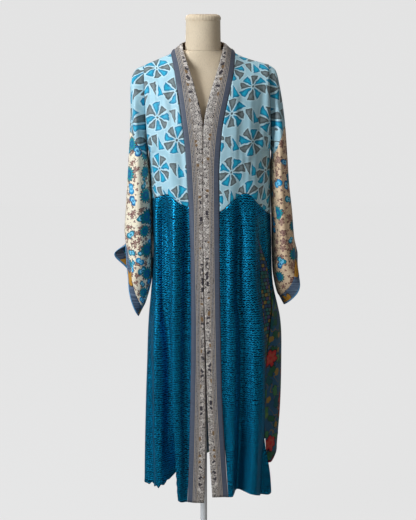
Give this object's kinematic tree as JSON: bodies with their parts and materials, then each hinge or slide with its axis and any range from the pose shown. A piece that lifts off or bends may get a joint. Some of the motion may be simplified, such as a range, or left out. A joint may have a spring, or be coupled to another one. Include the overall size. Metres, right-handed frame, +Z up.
{
  "type": "kimono jacket on a limbless dress form",
  "caption": "Long open-front patchwork kimono robe with wide neck band and hanging sleeves, worn by a limbless dress form on a pole and round base.",
  "frame": {"origin": "centre of the round base's underside, on the floor under the pole", "axes": "+Z up along the pole, -Y towards the viewer of the open front, +X to the wearer's left"},
  "size_m": [0.5652, 0.3231, 1.799],
  "materials": {
    "yoke_silk": "pale sky-blue silk with blue and grey pinwheels, soft satin sheen",
    "sleeve_silk": "cream silk with small maroon flowers and turquoise drops",
    "cuff_border": "slate blue slub border with ochre leaves",
    "skirt_silk": "teal satin silk with fine dark zigzag rows",
    "back_silk": "dark slate silk with green leaves and red flowers",
    "facing_silk": "dark silk with rounded tiles in green, gold and violet",
    "neck_band": "woven border, cream floral strip beside grey-blue stripes",
    "form_cloth": "matt ecru cloth stretched over a hard shell",
    "pole_steel": "satin steel tube",
    "base_paint": "satin light grey paint on a steel plate"
  },
  "bodies": {
    "root": {"yoke_front_right": "yoke_silk", "yoke_front_left": "yoke_silk", "yoke_back": "yoke_silk", "sleeve_top_right": "yoke_silk", "sleeve_top_left": "yoke_silk", "sleeve_right": "sleeve_silk", "sleeve_left": "sleeve_silk", "cuff_right": "cuff_border", "cuff_left": "cuff_border", "skirt_front_right": "skirt_silk", "skirt_front_left": "skirt_silk", "gore_upper_left": "skirt_silk", "gore_lower_left": "back_silk", "skirt_back": "back_silk", "pocket_facing_left": "facing_silk", "band_right": "neck_band", "band_left": "neck_band", "band_back": "neck_band", "form_torso": "form_cloth", "form_neck": "form_cloth", "form_cap": "form_cloth", "pole": "pole_steel", "base": "base_paint"}
  },
  "joints": []
}
